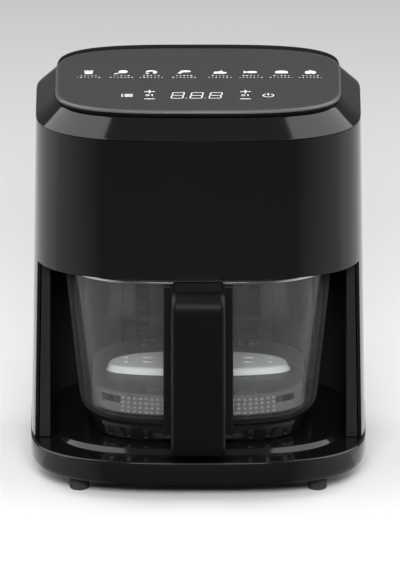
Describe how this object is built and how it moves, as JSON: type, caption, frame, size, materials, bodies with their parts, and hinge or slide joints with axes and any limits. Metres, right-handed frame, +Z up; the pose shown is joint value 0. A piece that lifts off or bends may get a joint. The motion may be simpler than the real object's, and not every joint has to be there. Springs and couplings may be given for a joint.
{
  "type": "air fryer",
  "caption": "Compact air fryer with a chamfered head, a touch panel on top, an open front and a pull-out glass pot with a loop handle",
  "frame": {"origin": "on the floor under the middle of the whole object's box, grip and wall spacers included", "axes": "+Z up, -Y to the front where the handle is, +X to the right seen from the front"},
  "size_m": [0.26, 0.268, 0.3055],
  "materials": {
    "gloss_black": "polished moulded plastic",
    "satin_black": "satin moulded plastic",
    "matte_black": "fine textured moulded plastic",
    "panel_grey": "smooth hard-coated grey panel with printed symbols",
    "display_face": "dark window of the digit display",
    "circuit_board": "green solder mask",
    "rubber": "moulded rubber",
    "silicone": "moulded silicone",
    "clear_glass": "clear polished heat-resistant glass",
    "steel": "satin stainless steel",
    "element_steel": "dark sheathed heating element",
    "aluminium": "pressed sheet",
    "insulation": "pressed fibre board",
    "coated_plate": "grey non-stick coating on pressed aluminium"
  },
  "bodies": {
    "housing": {"air_duct": "aluminium", "air_outlet_grille": "satin_black", "base_bottom_cover": "matte_black", "base_screw_1": "steel", "base_screw_2": "steel", "base_screw_3": "steel", "base_screw_4": "steel", "base_tray": "gloss_black", "buzzer": "matte_black", "cavity_liner": "satin_black", "control_panel": "panel_grey", "cord_gland": "rubber", "digit_display": "display_face", "element_guard": "steel", "fan_motor": "aluminium", "filter_capacitor": "insulation", "foot_front_left": "rubber", "foot_front_right": "rubber", "foot_rear_left": "rubber", "foot_rear_right": "rubber", "head_bottom_cover": "matte_black", "heat_shield": "insulation", "heater_dome": "aluminium", "heating_element": "element_steel", "mains_lead": "rubber", "microswitch": "matte_black", "motor_bracket": "steel", "motor_screw_1": "steel", "motor_screw_2": "steel", "outer_shell": "gloss_black", "pot_seal": "silicone", "power_board": "circuit_board", "power_relay": "matte_black", "rear_spacer_left": "satin_black", "rear_spacer_right": "satin_black", "temperature_probe": "steel", "thermal_fuse": "matte_black", "top_bezel": "gloss_black", "top_cover": "gloss_black", "touch_board": "circuit_board"},
    "pot": {"glass_bowl": "clear_glass", "rim_band": "steel", "pot_base": "satin_black", "handle_bracket": "gloss_black", "handle_grip": "gloss_black", "handle_screw_upper": "steel", "handle_screw_lower": "steel"},
    "crisper": {"crisper_plate": "coated_plate", "crisper_bumper_front_left": "silicone", "crisper_bumper_front_right": "silicone", "crisper_bumper_rear_left": "silicone", "crisper_bumper_rear_right": "silicone"},
    "rotor": {"motor_shaft": "steel", "hot_air_fan": "steel", "cooling_fan": "satin_black", "fan_nut": "steel"},
    "plunger": {"interlock_plunger": "matte_black"}
  },
  "joints": [
    {"name": "pot_slide", "type": "slide", "parent": "housing", "child": "pot", "axis": [0, -1, 0], "range_m": [0, 0.25]},
    {"name": "crisper_lift", "type": "slide", "parent": "pot", "child": "crisper", "axis": [0, 0, 1], "range_m": [0, 0.08]},
    {"name": "fan_spin", "type": "hinge", "parent": "housing", "child": "rotor", "pos_m": [0, 0.001, 0.2146], "axis": [0, 0, 1], "continuous": true},
    {"name": "interlock_press", "type": "slide", "parent": "housing", "child": "plunger", "axis": [0, 1, 0], "range_m": [0, 0.0015], "stiffness_N_per_m": 200}
  ]
}
